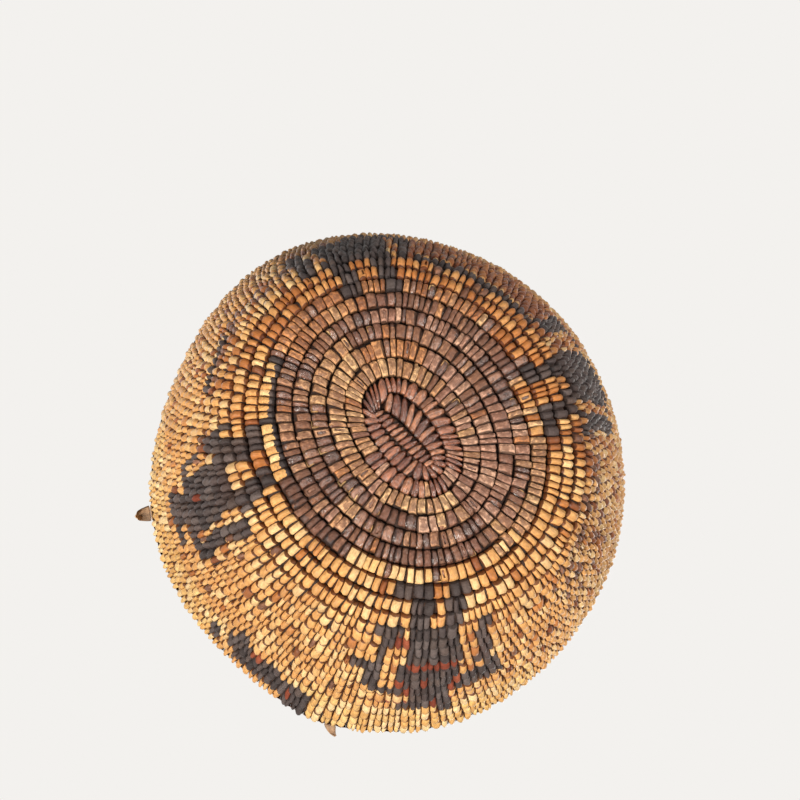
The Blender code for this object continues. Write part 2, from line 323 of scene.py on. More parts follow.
# The bundle of split root and splints inside the stitches, which shows between them; its colour is painted
# near black as the shade in those gaps
bundle = {
    "steps": 120,  # in a turn
    "outer": (0.0, 0.1, 0.3, 0.5, 0.7, 0.9, 1.0),
    "inner": (1.0, 0.8, 0.5, 0.2, 0.0),
    "swell": 0.0004,
    "depth": 0.0002,  # how far it lies inside the groove lines
    "startDepth": 0.0009,  # and under the plain stitches of the start
    "groove": 0.0021,  # how much deeper it lies along the grooves
    "lift": 0.0003,  # how far its inner side stands in from the inner groove lines
    "rodReach": 0.0006,  # how far the rod reaches under the first turn
    "rodSink": 0.0007,  # how far it lies under its own stitches
}


def swellAt(share, height):
    return height * math.sin(math.pi * min(max(share, 0.0), 1.0)) ** 0.6


def makeCore(material):
    first = round(coil["firstTurn"] * bundle["steps"])
    last = round(coil["turns"] * bundle["steps"])
    mesh = bmesh.new()
    rings = []
    for step in range(first, last + 1):
        turns = step / bundle["steps"]
        points = []
        for share in bundle["outer"]:
            groove = bundle["groove"] * abs(2 * share - 1) ** 4
            depth = bundle["startDepth"] if turns < stitching["bareTo"] else bundle["depth"]
            lower = min(groove, bundle["groove"] + bundle["depth"] - depth)
            points.append(coilPoint(turns, share, -depth - lower))
        for share in bundle["inner"]:
            swell = swellAt(share, bundle["swell"])
            points.append(coilPoint(turns, share, -coil["core"] - swell + bundle["lift"]))
        rings.append([mesh.verts.new(point) for point in points])
    for here, after in zip(rings, rings[1:]):
        for i in range(len(here)):
            j = (i + 1) % len(here)
            mesh.faces.new((here[i], here[j], after[j], after[i]))
    mesh.faces.new(rings[0][::-1])
    mesh.faces.new(rings[-1])
    # the rod reaches a little under the first turn, so that no light shows between them
    rod = bmesh.ops.create_uvsphere(mesh, u_segments=20, v_segments=14, radius=1.0)
    turn = Matrix.Rotation(coil["rodTurn"], 3, "Z")
    reach, sink = bundle["rodReach"], bundle["rodSink"]
    half = Vector((coil["rodLength"] / 2 + reach, coil["rodWidth"] / 2 + sink, coil["core"] / 2 - sink))
    for vertex in rod["verts"]:
        x, y, z = vertex.co.z, vertex.co.x, vertex.co.y
        around = math.hypot(y, z)
        fill = around ** (coil["rodFullness"] - 1) if around > 1e-6 else 0.0
        vertex.co = turn @ Vector((half.x * x, half.y * y * fill, half.z * z * fill))
        vertex.co.z += coil["centre"].z + coil["core"] / 2
    bmesh.ops.recalc_face_normals(mesh, faces=mesh.faces)
    core = finishPiece("coilCore", meshData("coilCore", mesh), "basket", (material,))
    runs = [n for n in frame["nodes"] if n == "start_rod" or "coil" in n]
    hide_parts(*runs)
    print("core made, in place of", len(runs), "runs")


# How the stitches run, in turns of the coil where not said. Widths are real, along the coil
stitching = {
    "seed": 41,
    "startWidth": 0.0033,
    "narrowing": 0.3,  # of the start's stitches, off the rod's ends
    "baseWidth": 0.0034,
    "wallWidth": 0.0035,
    "widerFrom": 7.0,  # turns between which the stitches widen
    "widerTo": 11.0,
    "wander": 0.045,
    "slant": 1.2,  # degrees that a column leans in a course, at most
    "slantPlace": 135.0,
    "slantFrom": 8.0,
    "bareTo": 2.45,  # turns up to which the root stitches are plain
    "near": 0.38,  # a mark stands over the one a turn below that is this much of a width from its own place
    "halve": 2.3,  # widths: a gap between marks below is halved up to this
    "freedom": 0.12,  # how much a width varies where nothing below guides it
    "covered": 0.17,  # the share of the start's outer stitches that keep a fold
    "coveredFrom": 1.7,
    "tornFigures": 0.03,  # the share of a figure's folds that are torn
    "rodStitches": 12,
    "rodStitchLength": 0.0068,
    "gather": Vector((0.0059, 0.0071, 0.0)),  # where the first stitches on one side all point
    "gatherReach": 0.0145,  # half the length of rod beside which they do
    "wornSoftness": 0.0004,  # how high above the ground the wear under the base still shows
}

# How the plain folds look, the last that fits counting: turns from and to, degrees from and to, dye,
# then the shares that are worn to the root, worn to a collar round it, open, and torn
wear = (
    (0.0, 3.0, 0, 360, "baseTan", 0.05, 0.01, 0.05, 0.05),
    (0.0, 2.9, 205, 300, "baseTan", 0.01, 0.02, 0.05, 0.03),
    (0.0, 2.9, 300, 360, "basePink", 0.02, 0.01, 0.03, 0.05),
    (2.9, 4.0, 0, 180, "baseTan", 0.03, 0.02, 0.06, 0.05),
    (2.9, 4.0, 180, 235, "baseOrange", 0.10, 0.05, 0.12, 0.08),
    (2.9, 4.0, 235, 360, "basePink", 0.06, 0.02, 0.05, 0.05),
    (4.0, 5.0, 0, 36, "basePink", 0.10, 0.02, 0.05, 0.05),
    (4.0, 5.0, 36, 60, "baseDark", 0.30, 0.05, 0.10, 0.10),
    (4.0, 5.0, 60, 130, "baseBrown", 0.35, 0.24, 0.22, 0.06),
    (4.0, 5.0, 130, 180, "baseTan", 0.15, 0.08, 0.10, 0.08),
    (4.0, 5.0, 180, 280, "baseBrown", 0.30, 0.04, 0.05, 0.06),
    (4.0, 5.0, 280, 360, "basePink", 0.03, 0.02, 0.03, 0.05),
    (5.0, 6.0, 0, 360, "baseBrown", 0.20, 0.03, 0.04, 0.08),
    (5.0, 6.0, 45, 105, "baseDark", 0.60, 0.10, 0.04, 0.05),
    (5.0, 6.0, 200, 330, "basePink", 0.20, 0.02, 0.03, 0.06),
    (6.0, 7.0, 0, 60, "baseDark", 0.25, 0.05, 0.06, 0.12),
    (6.0, 7.0, 60, 150, "baseBrown", 0.20, 0.10, 0.05, 0.10),
    (6.0, 7.0, 150, 200, "baseOrange", 0.05, 0.02, 0.03, 0.06),
    (6.0, 7.0, 200, 275, "baseDark", 0.25, 0.03, 0.04, 0.10),
    (6.0, 7.0, 275, 300, "baseTan", 0.05, 0.03, 0.04, 0.06),
    (6.0, 7.0, 300, 360, "baseTan", 0.01, 0.01, 0.02, 0.04),
    (7.0, 7.9, 0, 65, "straw", 0.03, 0.04, 0.04, 0.10),
    (7.0, 7.9, 65, 100, "baseDark", 0.20, 0.04, 0.06, 0.15),
    (7.0, 7.9, 100, 190, "baseOrange", 0.02, 0.02, 0.03, 0.08),
    (7.0, 7.9, 190, 258, "baseOrange", 0.10, 0.02, 0.04, 0.12),
    (7.0, 7.9, 258, 300, "tan", 0.05, 0.02, 0.04, 0.08),
    (7.0, 7.9, 300, 360, "straw", 0.0, 0.01, 0.01, 0.02),
    (7.9, 21.0, 0, 360, "straw", 0.003, 0.005, 0.004, 0.015),
    (7.9, 10.0, 150, 290, "tan", 0.02, 0.04, 0.02, 0.05),
    (10.0, 18.0, 218, 262, "browned", 0.02, 0.03, 0.03, 0.05),
    (12.0, 13.9, 120, 182, "straw", 0.08, 0.10, 0.05, 0.14),
    (14.0, 14.9, 150, 182, "tan", 0.16, 0.10, 0.04, 0.14),
    (10.0, 12.9, 298, 322, "straw", 0.16, 0.12, 0.05, 0.12),
    (10.0, 18.0, 322, 350, "straw", 0.07, 0.06, 0.03, 0.05),
    (21.0, 25.0, 0, 360, "straw", 0.0, 0.0, 0.0, 0.01),
    (21.0, 25.0, 0, 60, "pale", 0.0, 0.0, 0.0, 0.01),
    (21.0, 25.0, 78, 130, "pale", 0.0, 0.0, 0.0, 0.01),
)
# How age and handling change the dyes
aged = {
    "place": 245.0,  # degrees round to the middle of the wall's browned side
    "spread": 75.0,
    "share": 0.62,  # the share of straw folds gone tan or brown there
    "elsewhere": 0.06,
    "mixed": 0.16,  # the share of base folds that have another dye than their zone
    "waver": 0.22,  # turns by which a zone's border wavers on the base
    "ragged": 0.2,
    "evenFrom": 7,  # the course from which the borders are even
}


def walkStitches():
    # marks along the coil between stitches. Each follows the one a turn below, so that they stand in columns
    rng = random.Random(stitching["seed"])
    marks = [coil["firstTurn"]]
    below = 0

    def above(index):
        mark = marks[index]
        lean = math.cos(math.tau * mark - math.radians(stitching["slantPlace"])) * stitching["slant"] / 360
        return mark + 1 + (lean if mark > stitching["slantFrom"] else 0.0)

    while marks[-1] < coil["turns"] - 0.004:
        here = marks[-1]
        around = (coilPoint(here + 0.002, 0.5, 0.0) - coilPoint(here, 0.5, 0.0)).length / 0.002
        if here < stitching["bareTo"]:
            endways = abs(math.cos(math.tau * here - coil["rodTurn"])) ** 4
            size = stitching["startWidth"] * (1 - stitching["narrowing"] * endways)
        else:
            rise = (here - stitching["widerFrom"]) / (stitching["widerTo"] - stitching["widerFrom"])
            rise = min(max(rise, 0.0), 1.0)
            size = stitching["baseWidth"] + (stitching["wallWidth"] - stitching["baseWidth"]) * rise
        width = size / around
        while below < len(marks) and above(below) < here + (1 - stitching["near"]) * width:
            below += 1
        ahead = above(below) if below < len(marks) else math.inf
        wander = rng.gauss(0, stitching["wander"]) * width
        if ahead <= here + (1 + stitching["near"]) * width:
            following = ahead + wander
        elif ahead <= here + stitching["halve"] * width:
            following = (here + ahead) / 2 + wander
        else:
            following = here + width * (1 + rng.uniform(-stitching["freedom"], stitching["freedom"]))
        marks.append(following)
    marks[-1] = min(marks[-1], coil["turns"])
    print("stitches:", len(marks) - 1)
    return marks


# The figures, each as blocks of (first course, last course, from degrees, to degrees), then the dye where it
# isn't black
figures = {
    "front": (
        (8, 8, 14.0, 23.0), (8, 8, 23.0, 30.0, "tan"), (8, 8, 30.0, 41.0),
        (9, 9, 17.2, 23.6), (9, 9, 29.4, 37.4),
        (10, 10, 18.2, 24.6), (10, 10, 24.6, 27.0, "tan"), (10, 10, 29.0, 35.6),
        (11, 18, 20.0, 35.4),
        (11, 15, 10.8, 15.0), (16, 18, 9.2, 14.0), (17, 17, 8.8, 13.2),
        (11, 11, 36.6, 44.6), (12, 12, 38.4, 43.2), (12, 12, 35.5, 38.4, "red"),
        (13, 17, 40.6, 43.2), (15, 15, 43.0, 48.0), (15, 15, 35.4, 38.0, "browned"),
        (15, 15, 20.2, 34.6, "redTop"), (14, 14, 22.0, 29.0, "redSpeck"),
        (18, 18, 8.6, 42.0, "blackTop"), (17, 18, 15.0, 36.0, "redSpeck"),
        (18, 20, 25.6, 31.2), (19, 19, 10.0, 25.0, "redEnd"), (20, 20, 22.0, 35.0),
        (19, 19, 22.0, 32.0), (20, 20, 4.0, 22.0, "redEnd"), (21, 21, 21.0, 24.0),
        (19, 19, 31.4, 41.0, "redEnd"), (20, 20, 24.6, 26.6, "red"),
    ),
    "left": (
        (8, 8, 97.6, 104.6), (8, 8, 111.0, 119.6), (8, 8, 104.8, 110.8, "tan"),
        (9, 9, 97.0, 103.6), (9, 9, 110.0, 116.6),
        (10, 10, 96.6, 103.8), (10, 10, 109.4, 112.6), (10, 10, 114.6, 117.4),
        (10, 10, 119.8, 122.2),
        (11, 16, 99.4, 113.4), (11, 11, 90.4, 95.4), (12, 12, 90.6, 96.0),
        (13, 16, 93.2, 97.0), (17, 17, 93.4, 110.0), (18, 18, 93.4, 95.2),
        (11, 12, 116.0, 121.0), (13, 15, 116.4, 118.4), (16, 16, 113.4, 117.0),
        (15, 15, 105.4, 107.2, "red"), (18, 18, 103.0, 109.6), (19, 19, 99.6, 112.4),
        (18, 18, 110.0, 112.2),
    ),
    "back": (
        (7, 7, 191.0, 198.6), (7, 7, 208.0, 217.6),
        (8, 8, 191.4, 199.0), (8, 8, 206.2, 214.4),
        (9, 9, 190.6, 197.0), (9, 9, 205.4, 212.2),
        (10, 10, 180.6, 211.0), (10, 10, 214.6, 217.4), (10, 10, 186.2, 189.0, "straw"),
        (11, 17, 190.2, 210.8), (11, 17, 181.2, 186.8), (11, 17, 213.6, 217.6),
        (14, 14, 186.6, 191.0, "straw"), (18, 18, 198.0, 217.0, "blackTop"),
        (19, 20, 200.0, 216.0),
    ),
    "right": (
        (7, 7, 272.0, 281.0), (7, 7, 289.0, 300.0),
        (8, 8, 274.8, 280.8), (8, 8, 288.4, 295.0),
        (9, 9, 274.4, 280.6), (9, 9, 286.4, 292.8),
        (10, 10, 274.2, 290.0), (10, 10, 293.2, 296.0), (10, 10, 298.0, 300.0),
        (11, 17, 274.2, 289.6), (11, 17, 293.0, 298.0), (11, 17, 262.4, 267.6),
        (18, 18, 262.4, 298.0, "blackTop"), (19, 19, 276.0, 287.0), (20, 20, 274.4, 289.0),
    ),
    "step": (
        (20, 20, 71.4, 75.0), (21, 21, 62.0, 66.6), (21, 21, 69.4, 77.0),
        (21, 21, 66.6, 70.6, "red"), (22, 24, 53.0, 57.8), (22, 22, 60.0, 76.0),
        (22, 24, 57.9, 60.0, "redSpeck"), (22, 23, 78.6, 81.2), (23, 23, 60.0, 74.0),
    ),
    "bars": (
        (7, 7, 100.0, 145.0, "blackChip"), (7, 7, 145.4, 148.0), (7, 7, 68.0, 100.0, "blackEnd"),
        (10, 10, 219.0, 262.0, "blackTop"), (13, 13, 134.0, 152.0, "blackTop"),
    ),
}
# Folds of two colours: the strip that lies first, the one that covers it and where, and how often they are so
twoColours = {
    "blackTop": ("black", "straw", 0.55, 0.86),
    "blackEnd": ("baseDark", "black", 0.55, 0.5),
    "blackChip": ("black", "straw", 0.34, 0.92),
    "redTop": ("red", "black", 0.45, 1.0),
    "redEnd": ("straw", "red", 0.62, 0.8),
}


def dyeAt(course, degrees):
    found = None
    for blocks in figures.values():
        for firstCourse, lastCourse, start, end, *dye in blocks:
            if firstCourse <= course <= lastCourse and start <= degrees <= end:
                found = dye[0] if dye else "black"
    return found


def plainLook(turns, degrees, rng):
    # the dye of a plain fold here, and the state that wear has left it in
    waver = aged["waver"] * math.sin(math.radians(3 * degrees))
    edge = turns + waver + rng.uniform(-aged["ragged"], aged["ragged"])
    if int(turns) >= aged["evenFrom"]:
        edge = turns
    dye, chances = "straw", (0.0, 0.0, 0.0, 0.0)
    for low, high, start, end, name, *shares in wear:
        if low <= edge < high and start <= degrees < end:
            dye, chances = name, shares
    if dye == "straw" and turns < 21:
        away = math.remainder(degrees - aged["place"], 360.0) / aged["spread"]
        if rng.random() < aged["elsewhere"] + aged["share"] * math.exp(-(away**2)):
            dye = rng.choice(("tan", "tan", "browned"))
    elif dye.startswith("base") and rng.random() < aged["mixed"]:
        dye = rng.choice(("baseTan", "baseBrown", "basePink", "baseOrange"))
    pick = rng.random()
    for state, chance in zip(("root", "collar", "open", "torn"), chances):
        if pick < chance:
            return dye, state
        pick -= chance
    return dye, "whole"


def makeStitches():
    rng = random.Random(stitching["seed"] + 1)
    marks = walkStitches()
    outside, inside, rim = [], [], []
    for start, end in zip(marks, marks[1:]):
        middle = (start + end) / 2
        course = int(middle)
        degrees = (middle - course) * 360
        spots = ((start, 0.0), (end, 0.0), (start, 1.0), (end, 1.0))
        corners = [coilPoint(turns, share, 0.0) for turns, share in spots]
        dye = dyeAt(course, degrees)
        isBare = middle < stitching["bareTo"] + 0.2 * math.sin(5 * middle) and dye is None
        if isBare and middle > stitching["coveredFrom"] and rng.random() < stitching["covered"]:
            isBare = False
        if isBare:
            outside.append(startPoint(middle, corners, rng))
        else:
            state = "whole"
            if dye is None:
                dye, state = plainLook(middle, degrees, rng)
            elif rng.random() < stitching["tornFigures"]:
                state = "torn"
            outside.extend(foldPoints(middle, corners, dye, state, rng))
        corners = [coilPoint(turns, share, -coil["core"]) for turns, share in spots]
        inside.append(insidePoint(middle, corners, rng))
        if middle > coil["turns"] - 1:
            rim.append(rimPoint(start, end, rng))
    addRodStitches(outside, inside, rng)
    return outside, inside, rim


# How unevenly the folds lie, as shares of their own size where not said
folds = {
    "widths": (0.88, 1.04),
    "lengths": (0.90, 1.06),
    "wallTilt": (0.10, 0.18),  # to one side: the mean and the spread
    "baseTilt": (0.0, 0.16),
    "nod": 0.08,
    "lean": 0.10,
    "slip": 0.03,
    "waver": 0.08,  # of the line between two colours
    "sunkShare": 0.08,
    "sunk": 0.0006,  # metres that a few lie deeper
    "depths": 0.0002,  # metres by which the others differ
    "pressed": 0.0008,  # metres that the thongs press those under them in
    "pressedTurns": 0.007,
    "remnant": 0.0006,  # metres that an open fold's stitch lies deeper
    "redShare": 0.22,  # of the folds in a speckled band
    "shades": 0.1,
    "blackShades": 0.2,
}


def dyed(dye, rng):
    spread = folds["blackShades"] if dye == "black" else folds["shades"]
    shade = rng.uniform(1 - spread, 1 + 0.8 * spread)
    return [min(value * shade, 1.0) for value in fromHex(rng.choice(dyes[dye][1]))]


def stitchPoint(middle, corners, outward, shape, dye, rng, **extra):
    # what the node tree needs to lay one shape: its seat, its two directions and the way out
    lowStart, lowEnd, highStart, highEnd = corners
    point = {
        "seat": (lowStart + lowEnd) / 2,
        "along0": (lowEnd - lowStart) * rng.uniform(*folds["widths"]),
        "along1": (highEnd - highStart) * rng.uniform(*folds["widths"]),
        "up": (highStart + highEnd - lowStart - lowEnd) / 2,
        "outward": outward,
        "offset": Vector([rng.uniform(0, 9) for _ in range(3)]),
        "tint": dyed(dye, rng),
        "secondTint": dyed(dye, rng),
        "dye": dyes[dye][0],
        "cut": 2.0,
        "shape": shape,
        "turns": middle,
    }
    point.update(extra)
    return point


def foldPoints(middle, corners, dye, state, rng):
    # a whole fold, or what is left of one over its root stitch
    outward = outwardAt(middle, 0.5)
    along = (corners[1] - corners[0]).normalized()
    upward = (corners[2] - corners[0]).normalized()
    isWall = middle > 8
    tilt = rng.gauss(*folds["wallTilt" if isWall else "baseTilt"])
    outward = outward + along * tilt + upward * rng.gauss(0, folds["nod"])
    extra = {}
    if dye == "redSpeck":
        dye = "red" if rng.random() < folds["redShare"] else "black"
    elif dye in twoColours:
        first, second, cut, share = twoColours[dye]
        dye = first
        if rng.random() < share:
            extra = {
                "secondTint": dyed(second, rng),
                "cut": cut + rng.uniform(-folds["waver"], folds["waver"]),
            }
    points = []
    if state != "whole":
        bead = stitchPoint(middle, corners, outward, 7, "dullBead" if isWall else "bead", rng)
        if state in ("open", "torn"):
            bead["seat"] = bead["seat"] - outward * folds["remnant"]
        points.append(bead)
    shape = {"collar": 8, "open": 3, "torn": 9}.get(state)
    if state == "whole":
        shape = rng.choice((0, 0, 1)) if isWall else 2
    elif state == "collar":
        dye = "collar" if dye.startswith("base") else dye
    if shape is not None:
        point = stitchPoint(middle, corners, outward, shape, dye, rng, **extra)
        depth = folds["sunk"] if rng.random() < folds["sunkShare"] else rng.gauss(0, folds["depths"])
        if any(abs(middle - thongTurns(thong[1])) < folds["pressedTurns"] for thong in thongs):
            depth += folds["pressed"]
        point["seat"] = point["seat"] + point["up"] * rng.gauss(0, folds["slip"]) - outward * depth
        longer = rng.uniform(*folds["lengths"])
        point["up"] = point["up"] * longer + point["along0"] * rng.gauss(0, folds["lean"])
        points.append(point)
    return points


# How the plain root stitches of the start lie
leaves = {
    "gatheredTurns": 1.1,  # the turns after the first mark on which they gather
    "pullReach": 0.003,  # the pull fades over this much on both sides of the gather's reach
    "farPull": 0.7,
    "farAim": Vector((-0.03, 1.0, 0.0)),
    "shortest": 0.0064,
    "longer": 1.10,
    "slant": (0.25, 0.15),
    "tilt": 0.10,
    "heights": (-0.00035, 0.0001),
    "widths": (0.92, 1.14),
    "rodLengths": (0.92, 1.06),
    "rodTaper": 0.35,
    "rodTilt": 0.12,
}


def startPoint(middle, corners, rng):
    # a plain root stitch of the first two courses, with its thick end towards +Y
    low = (corners[0] + corners[1]) / 2
    high = (corners[2] + corners[3]) / 2
    place = (low + high) / 2
    radial = high - low
    isNear = place.y < -0.25 * place.x - 0.002
    if middle < coil["firstTurn"] + leaves["gatheredTurns"]:
        inward = stitching["gatherReach"] + leaves["pullReach"] - abs(place.x)
        pull = min(max(inward / (2 * leaves["pullReach"]), 0.0), 1.0)
        aim = place - stitching["gather"] if isNear else leaves["farAim"].copy()
        aim.z = 0.0
        if not isNear:
            pull *= leaves["farPull"]
        length = max(radial.length, leaves["shortest"])
        radial = (radial.normalized() * (1 - pull) + aim.normalized() * pull).normalized() * length
    else:
        radial = radial * leaves["longer"] + (corners[1] - corners[0]) * rng.gauss(*leaves["slant"])
    along = (corners[1] - corners[0] + corners[3] - corners[2]) / 2
    if isNear:
        radial, along = -radial, -along
    outward = Vector((0, 0, -1)) + along.normalized() * rng.gauss(0, leaves["tilt"])
    point = stitchPoint(middle, corners, outward, 4, "root", rng)
    point["seat"] = place - radial / 2 + Vector((0, 0, rng.uniform(*leaves["heights"])))
    point["up"] = radial
    wide = rng.uniform(*leaves["widths"])
    point["along0"] = along * wide
    point["along1"] = along * wide
    return point


def insidePoint(middle, corners, rng):
    lowStart, lowEnd, highStart, highEnd = corners
    swapped = (lowEnd, lowStart, highEnd, highStart)
    point = stitchPoint(middle, swapped, -outwardAt(middle, 0.5), 5, "insideRoot", rng)
    lean = rng.gauss(-0.3, 0.05)
    point["seat"] = point["seat"] - point["along0"] * lean / 2
    point["up"] = point["up"] + point["along0"] * lean
    return point


def rimPoint(start, end, rng):
    spots = ((end, 0.0), (start, 0.0), (end, -coil["core"]), (start, -coil["core"]))
    corners = [coilPoint(turns, 1.0, swell) for turns, swell in spots]
    middle = (start + end) / 2
    upward = (coilPoint(middle, 1.0, -0.001) - coilPoint(middle, 0.7, -0.001)).normalized()
    upward = upward + Vector([rng.gauss(0, 0.03) for _ in range(3)])
    return stitchPoint(middle, corners, upward, 6, "tan", rng)


def addRodStitches(outside, inside, rng):
    # the start rod is bound with short slanted stitches that all lie along Y
    turn = Matrix.Rotation(coil["rodTurn"], 3, "Z")
    count = stitching["rodStitches"]
    step = coil["rodLength"] / count
    for index in range(count):
        across = (index + 0.5) * step - coil["rodLength"] / 2
        place = turn @ Vector((across, 0, 0)) + Vector((0, 0, coil["centre"].z))
        shorter = 1 - leaves["rodTaper"] * abs(2 * across / coil["rodLength"]) ** 3
        for isInside in (False, True):
            length = stitching["rodStitchLength"] * shorter * rng.uniform(*leaves["rodLengths"])
            up = Vector((rng.gauss(0, 0.0003), length, 0))
            along = turn @ Vector((step if isInside else -step, 0, 0))
            seat = place - up / 2 + Vector((0, 0, coil["core"] if isInside else 0.0))
            corners = [seat - along / 2, seat + along / 2, seat + up - along / 2, seat + up + along / 2]
            out = Vector((0, 0, 1 if isInside else -1))
            outward = out + along.normalized() * rng.gauss(0, leaves["rodTilt"])
            point = stitchPoint(0.5, corners, outward, 4, "insideRoot" if isInside else "root", rng)
            (inside if isInside else outside).append(point)


# The shapes of one stitch. X runs along the coil, Y across it from groove to groove and Z out of it
shapes = {
    "wide": 0.472,  # half the width, where 0.5 touches the next
    "roll": 0.0011,  # how far a fold's sides turn down
    "dip": 0.0009,  # how far its ends reach down into the grooves
    "skirt": 0.0016,
    "lap": 0.0004,  # how far one side of a fold stands over the next
    "bend": 0.09,  # how far its middle bows along the coil
    "lip": 0.0004,  # how far the end of a wall fold stands out past the swell
}


def foldShape(name, xs, ys, heightAt, widthAt, skirt, missing=(), bend=0.0):
    mesh = bmesh.new()
    grid = []
    for y in ys:
        aside = bend * (1 - (2 * y - 1) ** 2)
        grid.append([mesh.verts.new((x * widthAt(y) + aside, y, heightAt(x, y))) for x in xs])
    for row in range(len(ys) - 1):
        for column in range(len(xs) - 1):
            if (column, row) not in missing:
                here, above = grid[row], grid[row + 1]
                mesh.faces.new((here[column], here[column + 1], above[column + 1], above[column]))
    bmesh.ops.delete(mesh, geom=[v for v in mesh.verts if not v.link_faces], context="VERTS")
    edges = [edge for edge in mesh.edges if edge.is_boundary]
    made = bmesh.ops.extrude_edge_only(mesh, edges=edges)["geom"]
    for vertex in [item for item in made if isinstance(item, bmesh.types.BMVert)]:
        vertex.co.z -= skirt
    data = meshData(name, mesh)
    local = data.attributes.new("local", "FLOAT_VECTOR", "POINT")
    for spot, vertex in zip(local.data, data.vertices):
        spot.vector = vertex.co
    return bpy.data.objects.new(name, data)


def makeShapes():
    wide, roll, dip, skirt = shapes["wide"], shapes["roll"], shapes["dip"], shapes["skirt"]
    swell, bend, lap = coil["outerSwell"], shapes["bend"], shapes["lap"]
    xs = (-wide, -wide * 0.8, -wide * 0.3, wide * 0.3, wide * 0.8, wide)
    ys = (0.02, 0.09, 0.26, 0.55, 0.8, 0.92, 0.985)

    def side(x, power):
        return abs(x / wide) ** power

    def scale(x, y):  # a wall fold: tucked in at the base side, thick and round at the rim side
        rise = math.sin(math.pi / 2 * min(y / 0.72, 1.0)) ** 0.6
        drop = max((y - 0.66) / 0.34, 0.0) ** 3
        fall = 1.3 * (swell + dip) * drop + 1.1 * roll * side(x, 2.3) + lap * x / wide
        return (swell + shapes["lip"] + dip) * rise - dip - fall

    def lapped(x, y):  # the same, turned a little more over the next
        return scale(x, y) - 0.0003 * x / wide

    def scaleWidth(y):
        return 1 - 0.44 * max((y - 0.55) / 0.45, 0.0) ** 2 - 0.06 * (y < 0.05)

    def block(x, y):  # a base fold, worn flatter
        ends = abs(2 * y - 1)
        face = swell - 0.9 * swell * ends**4 - dip * ends**12
        return face - roll * side(x, 2.6) - 0.5 * lap * x / wide

    def blockWidth(y):
        return 1 - 0.12 * abs(2 * y - 1) ** 10

    def bead(x, y):  # a root stitch whose fold is gone
        return 1.12 * swell - (swell + 0.7 * dip) * abs(2 * y - 1) ** 2.4 - 0.0014 * side(x, 2.1)

    def beadWidth(y):
        return 1.04 - 0.22 * abs(2 * y - 1) ** 3

    def leaf(x, y):  # a root stitch of the start: thin and low at its tucked end, plump at the other
        plump = (swell + 0.0016) * math.sin(math.pi * (0.06 + 0.82 * y)) ** 0.6
        return plump - 0.0010 - 0.0034 * abs(2 * x) ** 2.0 - 0.0009 * 2 * x

    def leafWidth(y):
        return 1.42 * math.sin(math.pi * (0.09 + 0.77 * y**1.2)) ** 0.7

    def insideHeight(x, y):
        return swellAt(y, coil["innerSwell"]) - 0.0005 * abs(2 * x) ** 2.2

    def insideWidth(y):
        return 1.02 - 0.12 * abs(2 * y - 1) ** 3

    def rimHeight(x, y):
        return 0.0006 - 0.001 * abs(2 * y - 1) ** 2.4 - 0.0005 * abs(2 * x) ** 2.2

    def fold(name, heightAt, widthAt, missing=()):
        return foldShape(name, xs, ys, heightAt, widthAt, skirt, missing, bend)

    leafX = (-0.5, -0.38, -0.14, 0.14, 0.38, 0.5)
    leafY = (0.0, 0.12, 0.36, 0.64, 0.87, 1.0)
    insideX = (-0.5, -0.2, 0.2, 0.5)
    insideY = (0.0, 0.18, 0.5, 0.82, 1.0)
    rimX = (-0.5, -0.25, 0.0, 0.25, 0.5)
    rimY = (-0.28, -0.1, 0.15, 0.5, 0.85, 1.1, 1.28)
    # the faces (column, row) that wear has taken out of a fold
    middleOut = ((2, 2), (2, 3))
    allButCollar = tuple((c, r) for c in range(5) for r in range(5) if r < 3 or 0 < c < 4)
    tornAway = ((0, 5), (1, 5), (2, 5), (3, 5), (4, 5), (3, 4), (4, 4), (2, 4), (4, 3))
    made = [
        fold("shape0scale", scale, scaleWidth),
        fold("shape1lapped", lapped, scaleWidth),
        fold("shape2block", block, blockWidth),
        fold("shape3open", lambda x, y: block(x, y) + 0.00015, blockWidth, middleOut),
        foldShape("shape4leaf", leafX, leafY, leaf, leafWidth, 0.0009, bend=0.06),
        foldShape("shape5inside", insideX, insideY, insideHeight, insideWidth, 0.0005),
        foldShape("shape6rim", rimX, rimY, rimHeight, lambda y: 1.0, 0.0005),
        fold("shape7bead", bead, beadWidth),
        fold("shape8collar", lambda x, y: block(x, y) + 0.0003, blockWidth, allButCollar),
        fold("shape9torn", block, lambda y: 1 - 0.25 * y, tornAway),
    ]
    collection = bpy.data.collections.new("stitchShapes")
    for obj in made:
        collection.objects.link(obj)
    print("shapes of stitch made:", len(made))
    return collection


# What each point of the coil carries for its stitch, by kind
carried = {
    "FLOAT_VECTOR": ("seat", "along0", "along1", "up", "outward", "offset"),
    "FLOAT_COLOR": ("tint", "secondTint"),
    "FLOAT": ("cut",),
    "INT": ("dye", "shape"),
}


